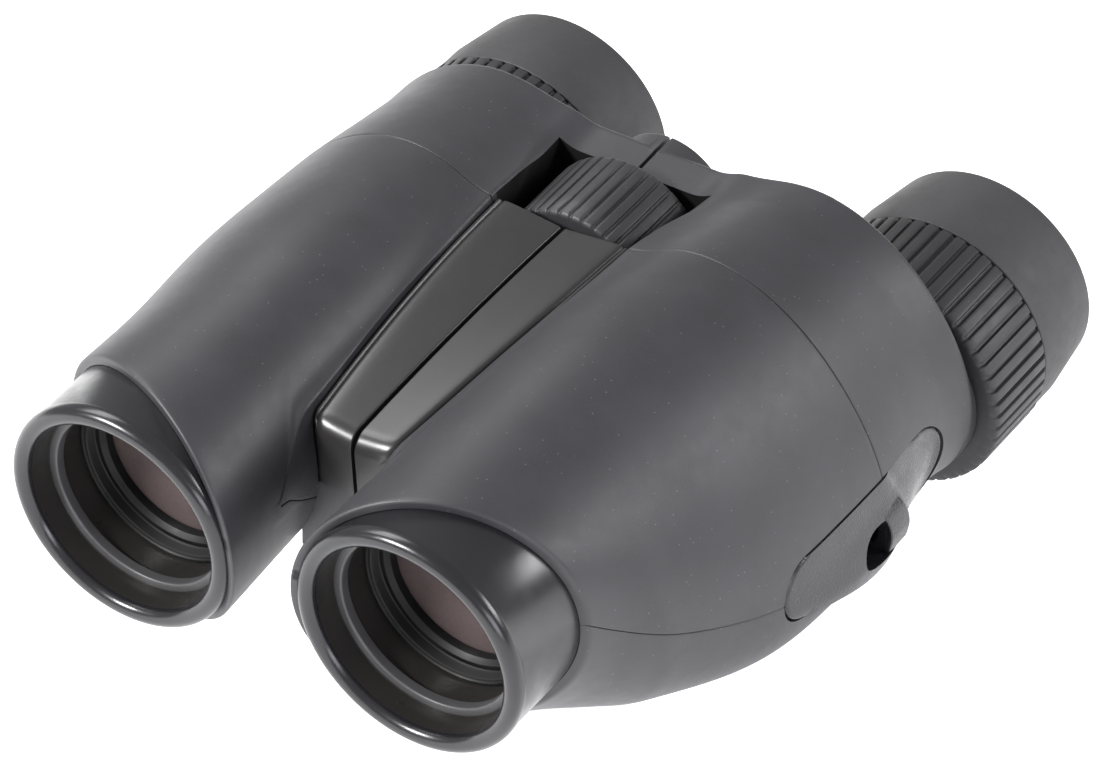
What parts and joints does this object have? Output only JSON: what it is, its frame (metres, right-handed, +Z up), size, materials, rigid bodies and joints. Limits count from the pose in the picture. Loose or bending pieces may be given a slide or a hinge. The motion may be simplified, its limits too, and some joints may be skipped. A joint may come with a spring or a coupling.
{
  "type": "binoculars",
  "caption": "Compact zoom binoculars with close-set objectives, wide-set eyepieces, a central hinge with a ribbed focus wheel, and ribbed rings on both eyepieces.",
  "frame": {"origin": "middle of the length on the centre plane, level with the lowest point of the eyepiece rings", "axes": "+Y from the objectives to the eyepieces, parallel to the optical axes; +Z up, from the eyepieces' side to the hinge plates; +X towards the user's left-hand barrel"},
  "size_m": [0.1054, 0.123, 0.0553],
  "materials": {
    "gloss_black": "satin gloss black, fine grain",
    "satin_black": "satin black",
    "housing_rubber": "soft-touch matt coating",
    "lug_plastic": "satin black, fine sparkle",
    "matt_black_metal": "matt black anodised",
    "coated_glass": "coated lens",
    "prism_glass": "polished",
    "frame_plastic": "moulded",
    "arm_metal": "stamped and plated",
    "brass": "machined brass",
    "spring_steel": "rolled strip",
    "screw_steel": "blackened steel",
    "shaft_steel": "ground",
    "eyecup_rubber": "matt rubber",
    "ring_rubber": "matt ribbed rubber",
    "wheel_rubber": "matt ribbed rubber",
    "cap_plastic": "satin"
  },
  "bodies": {
    "left_barrel": {"left_objective_tube": "gloss_black", "left_baffle_ring": "matt_black_metal", "left_upper_shell": "housing_rubber", "left_lower_shell": "housing_rubber", "left_rear_cover": "housing_rubber", "left_top_plate": "satin_black", "left_strap_lug": "lug_plastic", "left_front_prism": "prism_glass", "left_rear_prism": "prism_glass", "left_prism_plate": "frame_plastic", "left_bulkhead": "frame_plastic", "left_eyepiece_tube": "frame_plastic", "left_eyecup": "eyecup_rubber", "left_front_knuckle": "frame_plastic", "left_rear_knuckle": "frame_plastic", "left_zoom_band": "spring_steel", "left_screws": "screw_steel", "left_eye_lens": "coated_glass", "hinge_shaft": "shaft_steel", "hinge_front_cap": "cap_plastic", "hinge_rear_cap": "cap_plastic"},
    "right_barrel": {"right_objective_tube": "gloss_black", "right_baffle_ring": "matt_black_metal", "right_upper_shell": "housing_rubber", "right_lower_shell": "housing_rubber", "right_rear_cover": "housing_rubber", "right_top_plate": "satin_black", "right_strap_lug": "lug_plastic", "right_front_prism": "prism_glass", "right_rear_prism": "prism_glass", "right_prism_plate": "frame_plastic", "right_bulkhead": "frame_plastic", "right_eyepiece_tube": "frame_plastic", "right_eyecup": "eyecup_rubber", "right_front_knuckle": "frame_plastic", "right_rear_knuckle": "frame_plastic", "right_zoom_band": "spring_steel", "right_screws": "screw_steel"},
    "left_objective": {"left_objective_cell": "matt_black_metal", "left_objective_lens": "coated_glass", "left_retaining_ring": "matt_black_metal", "left_focus_arm": "arm_metal"},
    "right_objective": {"right_objective_cell": "matt_black_metal", "right_objective_lens": "coated_glass", "right_retaining_ring": "matt_black_metal", "right_focus_arm": "arm_metal"},
    "focus_wheel": {"focus_wheel": "wheel_rubber", "focus_screw": "brass"},
    "focus_nut": {"focus_nut": "brass"},
    "zoom_ring": {"zoom_ring": "ring_rubber", "left_zoom_cam": "brass"},
    "left_zoom_group": {"left_zoom_cell": "matt_black_metal", "left_zoom_lens": "coated_glass"},
    "right_zoom_cam": {"right_zoom_cam": "brass"},
    "right_zoom_group": {"right_zoom_cell": "matt_black_metal", "right_zoom_lens": "coated_glass"},
    "dioptre_ring": {"dioptre_ring": "ring_rubber"},
    "right_ocular": {"right_ocular_cell": "matt_black_metal", "right_eye_lens": "coated_glass"}
  },
  "joints": [
    {"name": "fold", "type": "hinge", "parent": "left_barrel", "child": "right_barrel", "pos_m": [0, -0.0025, 0.03535], "axis": [0, -1, 0], "range_deg": [0, 35]},
    {"name": "focus_turn", "type": "hinge", "parent": "left_barrel", "child": "focus_wheel", "pos_m": [0, -0.0025, 0.03535], "axis": [0, 1, 0], "range_deg": [-60, 360]},
    {"name": "nut_slide", "type": "slide", "parent": "left_barrel", "child": "focus_nut", "axis": [0, 1, 0], "range_m": [-0.003, 0.0005]},
    {"name": "left_objective_slide", "type": "slide", "parent": "left_barrel", "child": "left_objective", "axis": [0, 1, 0], "range_m": [-0.003, 0.0005]},
    {"name": "right_objective_slide", "type": "slide", "parent": "right_barrel", "child": "right_objective", "axis": [0, 1, 0], "range_m": [-0.003, 0.0005]},
    {"name": "zoom_turn", "type": "hinge", "parent": "left_barrel", "child": "zoom_ring", "pos_m": [0.035, 0.0405, 0.01775], "axis": [0, 1, 0], "range_deg": [0, 80]},
    {"name": "left_zoom_slide", "type": "slide", "parent": "left_barrel", "child": "left_zoom_group", "axis": [0, 1, 0], "range_m": [0, 0.008]},
    {"name": "right_cam_turn", "type": "hinge", "parent": "right_barrel", "child": "right_zoom_cam", "pos_m": [-0.035, 0.0405, 0.01775], "axis": [0, 1, 0], "range_deg": [0, 80]},
    {"name": "right_zoom_slide", "type": "slide", "parent": "right_barrel", "child": "right_zoom_group", "axis": [0, 1, 0], "range_m": [0, 0.008]},
    {"name": "dioptre_turn", "type": "hinge", "parent": "right_barrel", "child": "dioptre_ring", "pos_m": [-0.035, 0.0405, 0.01775], "axis": [0, 1, 0], "range_deg": [-60, 60]},
    {"name": "ocular_slide", "type": "slide", "parent": "right_barrel", "child": "right_ocular", "axis": [0, 1, 0], "range_m": [-0.0015, 0.0015]}
  ],
  "couplings": [
    {"joint": "focus_turn", "follows": "nut_slide", "rad_per_m": -2094},
    {"joint": "left_objective_slide", "follows": "nut_slide", "ratio": 1},
    {"joint": "right_objective_slide", "follows": "nut_slide", "ratio": 1},
    {"joint": "left_zoom_slide", "follows": "zoom_turn", "m_per_rad": 0.0057},
    {"joint": "right_cam_turn", "follows": "zoom_turn", "ratio": 1},
    {"joint": "right_zoom_slide", "follows": "zoom_turn", "m_per_rad": 0.0057},
    {"joint": "ocular_slide", "follows": "dioptre_turn", "m_per_rad": 0.0014}
  ]
}
